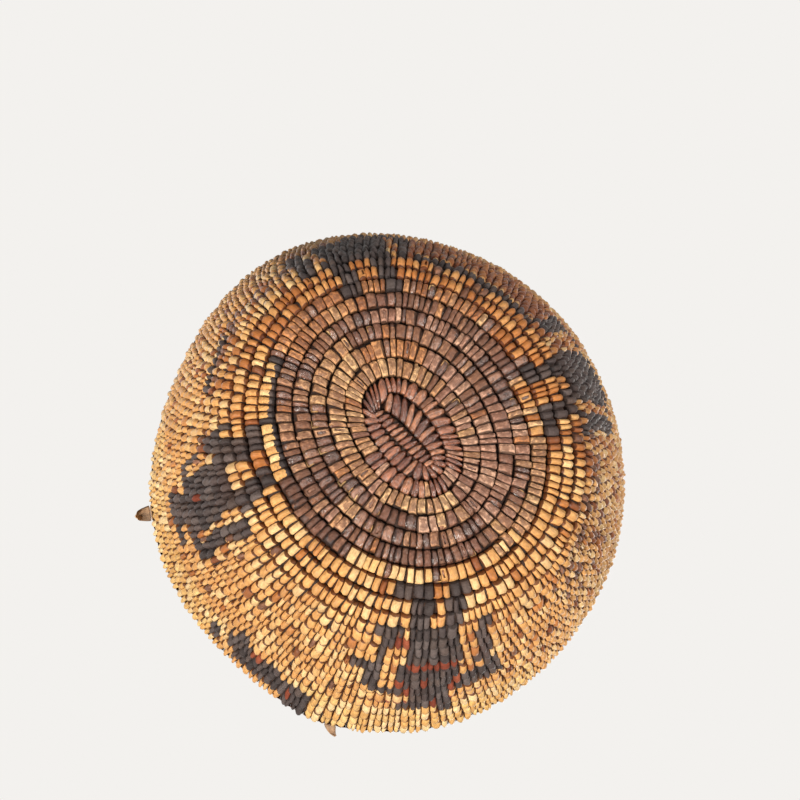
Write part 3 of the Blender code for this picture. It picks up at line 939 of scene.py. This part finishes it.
# The node tree that lays the shapes along the coil
def makeStitchTree(materialCount):
    tree = bpy.data.node_groups.new("layStitches", "GeometryNodeTree")
    tree.interface.new_socket("Geometry", in_out="INPUT", socket_type="NodeSocketGeometry")
    tree.interface.new_socket("Geometry", in_out="OUTPUT", socket_type="NodeSocketGeometry")
    names = {
        "Shapes": "NodeSocketCollection",
        "Unevenness": "NodeSocketFloat",
        "Worn softness": "NodeSocketFloat",
    }
    for number in range(materialCount):
        names[f"Material {number}"] = "NodeSocketMaterial"
    for name, kind in names.items():
        tree.interface.new_socket(name, in_out="INPUT", socket_type=kind)
    given = addNode(tree, "NodeGroupInput").outputs
    read = {}
    for kind, keys in (("FLOAT_VECTOR", carried["FLOAT_VECTOR"] + ("local",)), ("INT", carried["INT"])):
        for key in keys:
            node = addNode(tree, "GeometryNodeInputNamedAttribute", {"Name": key}, data_type=kind)
            read[key] = node.outputs["Attribute"]
    shapesIn = addNode(
        tree,
        "GeometryNodeCollectionInfo",
        {"Collection": given["Shapes"], "Separate Children": True, "Reset Children": True},
    )
    placed = addNode(
        tree,
        "GeometryNodeInstanceOnPoints",
        {
            "Points": given["Geometry"],
            "Instance": shapesIn,
            "Pick Instance": True,
            "Instance Index": read["shape"],
        },
    )
    real = addNode(tree, "GeometryNodeRealizeInstances", {"Geometry": placed})

    local = addNode(tree, "ShaderNodeSeparateXYZ", {0: read["local"]}).outputs
    along = addNode(
        tree,
        "ShaderNodeMix",
        {0: local["Y"], 4: read["along0"], 5: read["along1"]},
        data_type="VECTOR",
        clamp_factor=False,
    ).outputs[1]
    spot = read["seat"]
    for vector, amount in ((along, "X"), (read["up"], "Y"), (read["outward"], "Z")):
        part = addNode(tree, "ShaderNodeVectorMath", {0: vector, "Scale": local[amount]}, operation="SCALE")
        spot = addNode(tree, "ShaderNodeVectorMath", {0: spot, 1: part}, operation="ADD")
    # lumps of about 2 mm, as hand-split strips have
    lumps = addNode(tree, "ShaderNodeTexNoise", {"Vector": spot, "Scale": 480.0, "Detail": 2.0})
    centred = {0: lumps.outputs["Color"], 1: (0.5, 0.5, 0.5)}
    centred = addNode(tree, "ShaderNodeVectorMath", centred, operation="SUBTRACT")
    amount = given["Unevenness"]
    shaken = addNode(tree, "ShaderNodeVectorMath", {0: centred, "Scale": amount}, operation="SCALE")
    spot = addNode(tree, "ShaderNodeVectorMath", {0: spot, 1: shaken}, operation="ADD")
    # worn flat where it stands: heights near the ground die away smoothly to it
    apart = addNode(tree, "ShaderNodeSeparateXYZ", {0: spot}).outputs
    height = apart["Z"]
    softness = given["Worn softness"]
    for operation, value in (
        ("DIVIDE", softness),
        ("SUBTRACT", 1.0),
        ("MINIMUM", 0.0),
        ("EXPONENT", 0.0),
        ("MULTIPLY", softness),
        ("MAXIMUM", apart["Z"]),
    ):
        height = addNode(tree, "ShaderNodeMath", {0: height, 1: value}, operation=operation)
    spot = addNode(tree, "ShaderNodeCombineXYZ", {0: apart["X"], 1: apart["Y"], 2: height})

    # the strip's own coordinates in metres, so that its grain runs with it
    sizes = {2: local["Z"]}
    for axis, vector in ((0, along), (1, read["up"])):
        size = addNode(tree, "ShaderNodeVectorMath", {0: vector}, operation="LENGTH").outputs["Value"]
        sizes[axis] = addNode(tree, "ShaderNodeMath", {0: local[axis], 1: size}, operation="MULTIPLY")
    grain = addNode(tree, "ShaderNodeCombineXYZ", sizes)
    grain = addNode(tree, "ShaderNodeVectorMath", {0: grain, 1: read["offset"]}, operation="ADD")
    result = addNode(
        tree,
        "GeometryNodeStoreNamedAttribute",
        {"Geometry": real, "Name": "grain", "Value": grain},
        data_type="FLOAT_VECTOR",
        domain="POINT",
    )
    result = addNode(tree, "GeometryNodeSetPosition", {"Geometry": result, "Position": spot})
    for number in range(materialCount):
        isDye = addNode(
            tree, "FunctionNodeCompare", {2: read["dye"], 3: number}, data_type="INT", operation="EQUAL"
        )
        result = addNode(
            tree,
            "GeometryNodeSetMaterial",
            {"Geometry": result, "Selection": isDye, "Material": given[f"Material {number}"]},
        )
    addNode(tree, "NodeGroupOutput", {0: result})
    return tree


def layStitches(name, points, tree, collection, materials, unevenness):
    data = bpy.data.meshes.new(name + "Points")
    data.from_pydata([p["seat"] for p in points], [], [])
    fields = {"FLOAT_VECTOR": "vector", "FLOAT_COLOR": "color", "FLOAT": "value", "INT": "value"}
    for kind, keys in carried.items():
        for key in keys:
            attribute = data.attributes.new(key, kind, "POINT")
            for item, point in zip(attribute.data, points):
                setattr(item, fields[kind], point[key])
    source = bpy.data.objects.new(name + "Points", data)
    bpy.context.scene.collection.objects.link(source)
    modifier = source.modifiers.new("lay", "NODES")
    modifier.node_group = tree
    values = {"Shapes": collection, "Unevenness": unevenness, "Worn softness": stitching["wornSoftness"]}
    for number, material in enumerate(materials):
        values[f"Material {number}"] = material
    for item in tree.interface.items_tree:
        if item.in_out == "INPUT" and item.name in values:
            modifier[item.identifier] = values[item.name]
    graph = bpy.context.evaluated_depsgraph_get()
    result = bpy.data.meshes.new_from_object(source.evaluated_get(graph), depsgraph=graph)
    result.name = name
    for key in carried["FLOAT_VECTOR"] + carried["INT"]:
        if key in result.attributes:
            result.attributes.remove(result.attributes[key])
    bpy.data.objects.remove(source)
    finishPiece(name, result, "basket")
    result.calc_loop_triangles()
    print(name, len(points), "stitches,", len(result.loop_triangles), "triangles")


def stripMaterial(name, look):
    material, tree = startMaterial(name)
    tint = addNode(tree, "ShaderNodeAttribute", attribute_name="tint").outputs["Color"]
    grain = addNode(tree, "ShaderNodeAttribute", attribute_name="grain").outputs["Vector"]
    local = addNode(tree, "ShaderNodeAttribute", attribute_name="local").outputs["Vector"]
    placed = addNode(tree, "ShaderNodeTexCoord").outputs["Object"]
    # fibres along the strip, blotches on it, and soil in patches of some 25 mm
    stretched = addNode(tree, "ShaderNodeMapping", {"Vector": grain, "Scale": look["fibre"]})
    fibre = addNode(tree, "ShaderNodeTexNoise", {"Vector": stretched, "Scale": 1.0, "Detail": 3.0})
    blotches = {"Vector": grain, "Scale": look["blotchScale"], "Detail": 2.0}
    blotch = addNode(tree, "ShaderNodeTexNoise", blotches)
    broad = addNode(tree, "ShaderNodeTexNoise", {"Vector": placed, "Scale": 38.0, "Detail": 3.0})
    # how near this point is to the strip's edges, which get painted shade, as if shade fell into the gaps
    # where the strips meet; noise nicks its border
    parts = addNode(tree, "ShaderNodeSeparateXYZ", {0: local}).outputs
    sideways = addNode(tree, "ShaderNodeMath", {0: parts["X"]}, operation="ABSOLUTE")
    endways = addNode(tree, "ShaderNodeMath", {0: parts["Y"], 1: look["endMiddle"]}, operation="SUBTRACT")
    endways = addNode(tree, "ShaderNodeMath", {0: endways}, operation="ABSOLUTE")
    nearness = []
    for distance, low, high in ((sideways, look["sideFrom"], 0.47), (endways, look["endFrom"], 0.485)):
        ramp = {0: distance, 1: low, 2: high}
        nearness.append(addNode(tree, "ShaderNodeMapRange", ramp, interpolation_type="SMOOTHSTEP"))
    edge = addNode(tree, "ShaderNodeMath", {0: nearness[0], 1: nearness[1]}, operation="MAXIMUM")
    nicksAndShade = addNode(tree, "ShaderNodeMath", {0: blotch, 1: 1.3, 2: -0.65}, operation="MULTIPLY_ADD")
    ragged = addNode(tree, "ShaderNodeMath", {0: edge, 1: nicksAndShade}, operation="ADD")
    ragged = addNode(tree, "ShaderNodeMapRange", {0: ragged, 1: 0.38, 2: 0.82})
    edgeShade = addNode(tree, "ShaderNodeMath", {0: ragged, 1: look["edgeShadeAmount"]}, operation="MULTIPLY")
    # darker hearts where the strip has worn thin
    across = addNode(tree, "ShaderNodeMath", {0: sideways, 1: 1.06}, operation="MULTIPLY")
    out = addNode(tree, "ShaderNodeMath", {0: across, 1: endways}, operation="MAXIMUM")
    out = addNode(tree, "ShaderNodeMath", {0: out, 1: blotch}, operation="ADD")
    heart = addNode(tree, "ShaderNodeMapRange", {0: out, 1: 0.72, 2: 0.92, 3: look["heart"], 4: 0.0})
    # a strip of another colour over the far end of some folds, with a ragged edge
    shake = addNode(tree, "ShaderNodeMath", {0: blotch, 1: 0.4, 2: -0.2}, operation="MULTIPLY_ADD")
    reach = addNode(tree, "ShaderNodeMath", {0: parts["Y"], 1: shake}, operation="ADD")
    cut = addNode(tree, "ShaderNodeAttribute", attribute_name="cut").outputs["Fac"]
    past = addNode(tree, "ShaderNodeMath", {0: reach, 1: cut}, operation="GREATER_THAN")
    second = addNode(tree, "ShaderNodeAttribute", attribute_name="secondTint").outputs["Color"]
    color = addNode(tree, "ShaderNodeMix", {0: past, 6: tint, 7: second}, data_type="RGBA").outputs[2]

    levels = []
    for pattern in (fibre, blotch):
        ramp = {0: pattern, 1: 0.3, 2: 0.7, 3: look["dark"], 4: look["light"]}
        levels.append(addNode(tree, "ShaderNodeMapRange", ramp))
    level = addNode(tree, "ShaderNodeMath", {0: levels[0], 1: levels[1]}, operation="MULTIPLY")
    color = addNode(
        tree, "ShaderNodeMix", {0: 1.0, 6: color, 7: level}, data_type="RGBA", blend_type="MULTIPLY"
    ).outputs[2]
    soil = addNode(tree, "ShaderNodeMapRange", {0: broad, 1: 0.5, 2: 0.75, 3: 0.0, 4: look["soil"]})
    # over the colour go the darker hearts of wear, then the painted shade along the edges, then soil
    for share, over in ((heart, "heartColor"), (edgeShade, "edgeShadeColor"), (soil, "soilColor")):
        mix = {0: share, 6: color, 7: fromHex(look[over])}
        color = addNode(tree, "ShaderNodeMix", mix, data_type="RGBA").outputs[2]
    low, high = look["roughness"] - 0.1, look["roughness"] + 0.12
    rough = addNode(tree, "ShaderNodeMapRange", {0: blotch, 1: 0.3, 2: 0.7, 3: low, 4: high})
    heights = addNode(tree, "ShaderNodeMath", {0: fibre, 1: 0.6}, operation="MULTIPLY")
    heights = addNode(tree, "ShaderNodeMath", {0: heights, 1: blotch}, operation="ADD")
    relief = {"Height": heights, "Strength": look["bump"], "Distance": look["depth"]}
    bump = addNode(tree, "ShaderNodeBump", relief)
    finish = {"Base Color": color, "Roughness": rough, "Normal": bump, "IOR": 1.48}
    finish["Specular IOR Level"] = look["specular"]
    setInputs(tree, tree.nodes["Principled BSDF"], finish)
    return material


# In the looks "fibre" counts to the metre across the strip and along it, and "blotchScale" both ways. Grass
# has ribs of about 0.4 mm that run on for 2.4 mm, bark has crinkles of 0.4 mm, and blotches are 1.4 to 2.4 mm
# In every look the edge colour and its amount are painted shade along the strip's edges, where the strips
# meet and shade falls between them
def makeMaterials():
    # bear grass, dried and split: a satin straw that catches the light along its ribs, and brown where it is
    # handled
    grass = stripMaterial(
        "beargrassFolded",
        {
            "fibre": (2400, 420, 1), "blotchScale": 620.0, "dark": 0.8, "light": 1.12,
            "edgeShadeAmount": 0.95, "edgeShadeColor": "#522408", "soil": 0.3, "soilColor": "#9A6236",
            "sideFrom": 0.37, "endFrom": 0.37, "endMiddle": 0.6, "heart": 0.12, "heartColor": "#A86C3C",
            "roughness": 0.5, "specular": 0.28, "bump": 0.6, "depth": 0.0005,
        },
    )
    # cherry bark blackened in mud: a soft grey black, slightly purple, finely crinkled across the strip
    black = stripMaterial(
        "cherryBarkBlackened",
        {
            "fibre": (900, 2600, 1), "blotchScale": 700.0, "dark": 0.8, "light": 1.2,
            "edgeShadeAmount": 0.7, "edgeShadeColor": "#1C1412", "soil": 0.25, "soilColor": "#54382C",
            "sideFrom": 0.36, "endFrom": 0.37, "endMiddle": 0.58, "heart": 0.1, "heartColor": "#6A5A52",
            "roughness": 0.55, "specular": 0.2, "bump": 0.8, "depth": 0.0006,
        },
    )
    # cherry bark as it is peeled: red brown, dulled by age
    red = stripMaterial(
        "cherryBarkPeeled",
        {
            "fibre": (900, 2400, 1), "blotchScale": 600.0, "dark": 0.8, "light": 1.15,
            "edgeShadeAmount": 0.4, "edgeShadeColor": "#5A2C1E", "soil": 0.2, "soilColor": "#6A3C2A",
            "sideFrom": 0.37, "endFrom": 0.37, "endMiddle": 0.58, "heart": 0.1, "heartColor": "#7A4030",
            "roughness": 0.6, "specular": 0.12, "bump": 0.4, "depth": 0.0005,
        },
    )
    # bear grass rubbed and soiled by use: mottled brown faces with the straw still showing through
    worn = stripMaterial(
        "beargrassWorn",
        {
            "fibre": (2200, 420, 1), "blotchScale": 560.0, "dark": 0.66, "light": 1.28,
            "edgeShadeAmount": 0.85, "edgeShadeColor": "#2C1A12", "soil": 0.35, "soilColor": "#6A4534",
            "sideFrom": 0.32, "endFrom": 0.37, "endMiddle": 0.5, "heart": 0.6, "heartColor": "#6E4836",
            "roughness": 0.46, "specular": 0.35, "bump": 0.9, "depth": 0.0007,
        },
    )
    # split cedar root, scraped: rounded glossy stitches of reddish brown with long streaks
    root = stripMaterial(
        "cedarRootScraped",
        {
            "fibre": (2600, 300, 1), "blotchScale": 420.0, "dark": 0.64, "light": 1.36,
            "edgeShadeAmount": 0.9, "edgeShadeColor": "#28140D", "soil": 0.2, "soilColor": "#5C382A",
            "sideFrom": 0.24, "endFrom": 0.38, "endMiddle": 0.5, "heart": 0.0, "heartColor": "#7A4A32",
            "roughness": 0.33, "specular": 1.0, "bump": 0.9, "depth": 0.0010,
        },
    )
    return [grass, black, red, worn, root]


def cloudyMaterial(name, look):
    # a cloudy colour between two, with fine relief
    material, tree = startMaterial(name)
    placed = addNode(tree, "ShaderNodeTexCoord").outputs["Object"]
    heights = clouds = addNode(
        tree, "ShaderNodeTexNoise", {"Vector": placed, "Scale": look["clouds"], "Detail": 4.0}
    )
    ramp = addNode(tree, "ShaderNodeValToRGB", {0: clouds})
    for element, (position, color) in zip(ramp.color_ramp.elements, look["colors"]):
        element.position = position
        element.color = fromHex(color)
    if look["pores"]:
        pores = addNode(tree, "ShaderNodeTexVoronoi", {"Vector": placed, "Scale": look["pores"]})
        heights = addNode(tree, "ShaderNodeMath", {0: pores, 1: clouds}, operation="ADD")
    bump = addNode(tree, "ShaderNodeBump", {"Height": heights, "Strength": 0.5, "Distance": look["depth"]})
    finish = {"Base Color": ramp, "Normal": bump, "Roughness": look["roughness"]}
    setInputs(tree, tree.nodes["Principled BSDF"], finish)
    return material


def makeCoreMaterial():
    # splints and root scraps: dull, painted a near black orange brown as the shade in the gaps between the
    # stitches, with strands of about a millimetre
    look = {
        "clouds": 900.0,
        "colors": ((0.35, "#140804"), (0.7, "#3C200E")),
        "pores": 0.0,
        "depth": 0.0004,
        "roughness": 0.8,
    }
    return cloudyMaterial("cedarSplintBundle", look)


def makeHideMaterial():
    # smoked hide: soft and dull, grey brown, darker where it creases, with pores of about 0.6 mm
    look = {
        "clouds": 260.0,
        "colors": ((0.3, "#7C6552"), (0.72, "#D2A981")),
        "pores": 1600.0,
        "depth": 0.0003,
        "roughness": 0.82,
    }
    return cloudyMaterial("hideSmoked", look)


# The hide thongs: number, place round the rim, width, length of the free end, how far its tip drifts along
# the rim, how narrow the tip is, how far its sides curl and how far it turns down
thongs = (
    (1, math.radians(47.2), 0.0058, 0.0050, 0.0032, 0.42, 0.0004, math.radians(64.0)),
    (2, math.radians(112.1), 0.0078, 0.0084, 0.0008, 0.50, 0.0013, math.radians(75.0)),
)
hide = {
    "thickness": 0.0010,
    "corner": 0.0005,
    "slack": 0.0006,
    "drop": 0.0041,
    "setBack": 0.0009,
    "knotDepth": 0.0024,
    "knotHeight": 0.0036,
    "gap": 0.0002,
    "root": math.radians(25.0),
    "lean": math.radians(35.0),
    "columns": 9,
    "arcSteps": 6,
    "endSteps": 18,
    "roundFrom": 0.86,  # the share of its length from which the end is rounded
    "seed": 7,
    "unevenness": 0.00022,
    "lumps": 420.0,  # to the metre
}


def thongTurns(angle):
    # the place of a loop along the coil, on the last course or, past its thin end, on the one below
    turns = math.floor(coil["turns"]) + angle / math.tau
    return turns - 1 if turns > coil["turns"] - coil["tipTurns"] else turns


def thongFrame(angle):
    # X points out of the wall, Y up it and Z along the rim, from the rim coil's lower groove
    length = thongTurns(angle) * coil["pitch"]
    slope = profileAt(length + coil["pitch"] / 2)[2]
    outward = Vector((math.cos(angle), math.sin(angle), 0.0))
    normal = outward * math.sin(slope) - Vector((0.0, 0.0, math.cos(slope)))
    upward = outward * math.cos(slope) + Vector((0.0, 0.0, math.sin(slope)))
    placed = Matrix((normal, upward, normal.cross(upward))).transposed().to_4x4()
    placed.translation = surfacePoint(length, angle, 0.0)
    return placed


def bandPath():
    # the loop's middle line: three straight runs with an arc at each turn
    top = coil["pitch"] + hide["slack"] - hide["corner"]
    inside = hide["corner"] - coil["core"] - coil["innerSwell"] - hide["slack"]
    turns = (Vector((inside, top)), Vector((inside, top - hide["drop"])), Vector((-hide["setBack"], top)))
    radius = hide["corner"] + hide["thickness"] / 2
    path = []
    for index, centre in enumerate(turns):
        before = centre - turns[index - 1]
        after = turns[(index + 1) % 3] - centre
        start = math.atan2(-before.x, before.y)
        bend = (math.atan2(-after.x, after.y) - start) % math.tau
        for step in range(hide["arcSteps"] + 1):
            angle = start + bend * step / hide["arcSteps"]
            path.append((centre + radius * Vector((math.cos(angle), math.sin(angle))), angle))
    return path


def sweepHide(mesh, path, closed, widthAt, thicknessAt, placed, driftAt, bow):
    # a soft strip along the path. Each step is a ring across it: its outer side, then its inner side back
    columns = hide["columns"]
    rings = []
    for index, (spot, angle) in enumerate(path):
        share = index / (len(path) - 1)
        out = Vector((math.cos(angle), math.sin(angle)))
        softness = 0.5 if closed else 0.3 + 0.7 * share
        ring = []
        for side in (1, -1):
            for column in range(columns)[::side]:
                across = 2 * column / (columns - 1) - 1
                thick = thicknessAt(share) / 2 * (1 - abs(across) ** 6)
                flat = spot + out * (side * thick + bow * share * across**2)
                local = Vector((flat.x, flat.y, across * widthAt(share) / 2 + driftAt(share)))
                shake = noise.noise_vector(local * hide["lumps"] + placed.translation * 90)
                shake = shake * hide["unevenness"]
                ring.append(mesh.verts.new(placed @ (local + shake * softness)))
        rings.append(ring)
    pairs = list(zip(rings, rings[1:]))
    if closed:
        pairs.append((rings[-1], rings[0]))
    last = 2 * columns - 1
    for here, after in pairs:
        for i in range(last + 1):
            j = (i + 1) % (last + 1)
            mesh.faces.new((here[i], here[j], after[j], after[i]))
    if not closed:
        for ring in (rings[0], rings[-1]):
            for i in range(columns - 1):
                mesh.faces.new((ring[i], ring[i + 1], ring[last - 1 - i], ring[last - i]))


def finishHide(name, mesh, body, nodes, material):
    bmesh.ops.remove_doubles(mesh, verts=mesh.verts, dist=1e-6)
    bmesh.ops.recalc_face_normals(mesh, faces=mesh.faces)
    piece = finishPiece(name, meshData(name, mesh), body, (material,))
    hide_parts(*nodes)


def makeKnot(mesh, placed, width):
    # two turns of the strip drawn tight over each other, inside the rim
    inside = hide["corner"] - coil["core"] - coil["innerSwell"] - hide["slack"]
    x = inside - hide["corner"] - hide["thickness"] - hide["gap"] - hide["knotDepth"] / 2
    y = coil["pitch"] + hide["slack"] - hide["corner"] - hide["drop"] / 2
    made = bmesh.ops.create_icosphere(mesh, subdivisions=4, radius=1.0)["verts"]
    size = Vector((hide["knotDepth"] / 2, hide["knotHeight"] / 2, width / 2 + 0.0005))
    for vertex in made:
        way = vertex.co.copy()
        crease = min(abs(way.y * 1.1 + way.z * 0.7), abs(way.y * 0.9 - way.z * 0.8))
        inward = 0.16 * math.exp(-((crease / 0.13) ** 2))
        lump = 0.06 * noise.noise(way * 2.3 + placed.translation * 50)
        local = Vector((way.x * size.x, way.y * size.y, way.z * size.z)) * (1 - inward + lump)
        vertex.co = placed @ (local + Vector((x, y, 0)))


def makeThongs(material):
    noise.seed_set(hide["seed"])  # or the hide would be uneven in another way at each run
    for number, angle, width, length, drift, tip, bow, curl in thongs:
        placed = thongFrame(angle)
        mesh = bmesh.new()
        thickness = hide["thickness"]
        sweepHide(mesh, bandPath(), True, lambda s: width, lambda s: thickness, placed, lambda s: 0.0, 0.0)
        makeKnot(mesh, placed, width)
        nodes = (f"thong_loop_{number}", f"thong_knot_{number}")
        finishHide(f"thongBand{number}", mesh, "basket", nodes, material)

        mesh = bmesh.new()
        reach = hide["corner"] + thickness + hide["gap"]
        spot = Vector((-hide["setBack"], coil["pitch"] + hide["slack"] - hide["corner"]))
        spot += reach * Vector((math.cos(hide["root"]), math.sin(hide["root"])))
        heading = hide["lean"]
        path = []
        for step in range(hide["endSteps"] + 1):
            path.append((spot.copy(), heading + math.pi / 2))
            heading -= curl / hide["endSteps"]
            spot += Vector((math.cos(heading), math.sin(heading))) * length / hide["endSteps"]

        def widthAt(share):
            end = max((share - hide["roundFrom"]) / (1 - hide["roundFrom"]), 0.0)
            return width * (1 - (1 - tip) * share**1.4) * math.sqrt(max(1 - 0.75 * end**2, 0.05))

        def thicknessAt(share):
            return thickness * (1 - 0.5 * share)

        sweepHide(mesh, path, False, widthAt, thicknessAt, placed, lambda s: drift * s**1.5, -bow)
        finishHide(f"thongEnd{number}", mesh, f"thong_end_{number}", (f"thong_tail_{number}",), material)
    print("thongs made:", len(thongs))


makeStage()
materials = makeMaterials()
makeCore(makeCoreMaterial())
collection = makeShapes()
tree = makeStitchTree(len(materials))
outside, inside, rim = makeStitches()
# the pieces that the stitches make: name, points, slot, and how far their faces are shaken in metres
groups = (
    ("startStitches", [p for p in outside if p["turns"] < 2.9], "root", 0.00045),
    ("baseFolds", [p for p in outside if 2.9 <= p["turns"] < 8.0], "worn_strip", 0.00095),
    ("lowerWallFolds", [p for p in outside if 8.0 <= p["turns"] < 15.0], "straw_strip", 0.00060),
    ("middleWallFolds", [p for p in outside if 15.0 <= p["turns"] < 20.0], "straw_strip", 0.00060),
    ("upperWallFolds", [p for p in outside if 20.0 <= p["turns"]], "pale_strip", 0.00060),
    ("insideStitchesLow", [p for p in inside if p["turns"] < 16.0], "root", 0.00025),
    ("insideStitchesHigh", [p for p in inside if 16.0 <= p["turns"]], "root", 0.00025),
    ("rimStitches", rim, "root", 0.00025),
)
for name, points, slot, unevenness in groups:
    layStitches(name, points, tree, collection, materials, unevenness)
for obj in list(collection.objects):
    bpy.data.objects.remove(obj)
bpy.data.collections.remove(collection)
makeThongs(makeHideMaterial())
